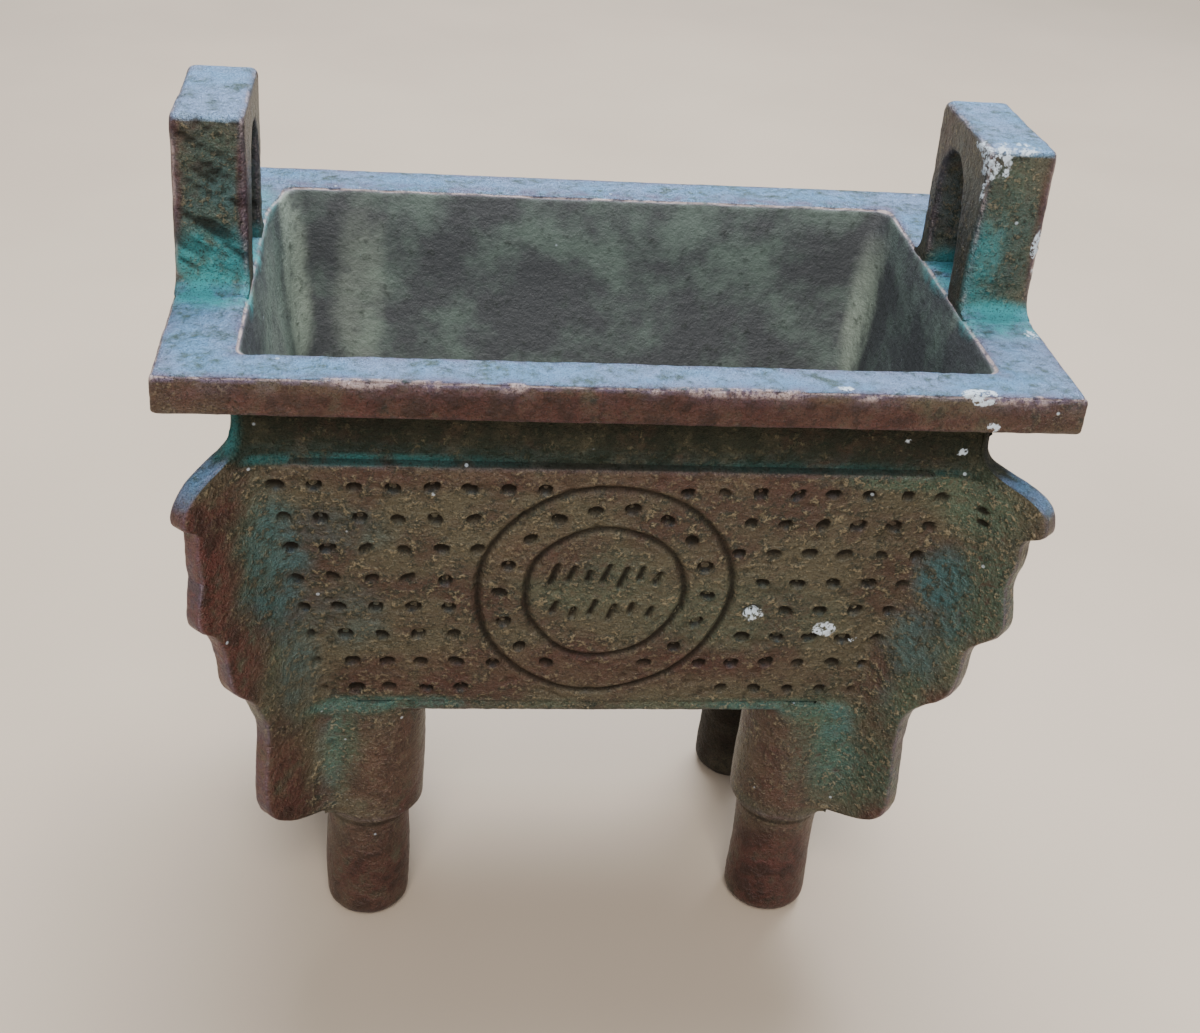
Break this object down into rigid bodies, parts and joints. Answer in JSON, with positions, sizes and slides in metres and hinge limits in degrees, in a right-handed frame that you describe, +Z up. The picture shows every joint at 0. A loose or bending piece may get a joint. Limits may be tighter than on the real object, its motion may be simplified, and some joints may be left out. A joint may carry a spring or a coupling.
{
  "type": "incense burner",
  "caption": "Rectangular footed incense burner in cast bronze: a tapered open bowl under a flat rim, with upright slotted ears, scalloped corner fins and round legs.",
  "frame": {"origin": "on the ground under the middle of the bowl", "axes": "+Z up, X along the length of the bowl, the front with the oval towards -Y"},
  "size_m": [0.1, 0.0678, 0.1074],
  "materials": {
    "patinated_bronze": "old cast bronze with a dark brown and green patina, satin, worn bright at the edges"
  },
  "bodies": {
    "root": {"incense_burner": "patinated_bronze"}
  },
  "joints": []
}
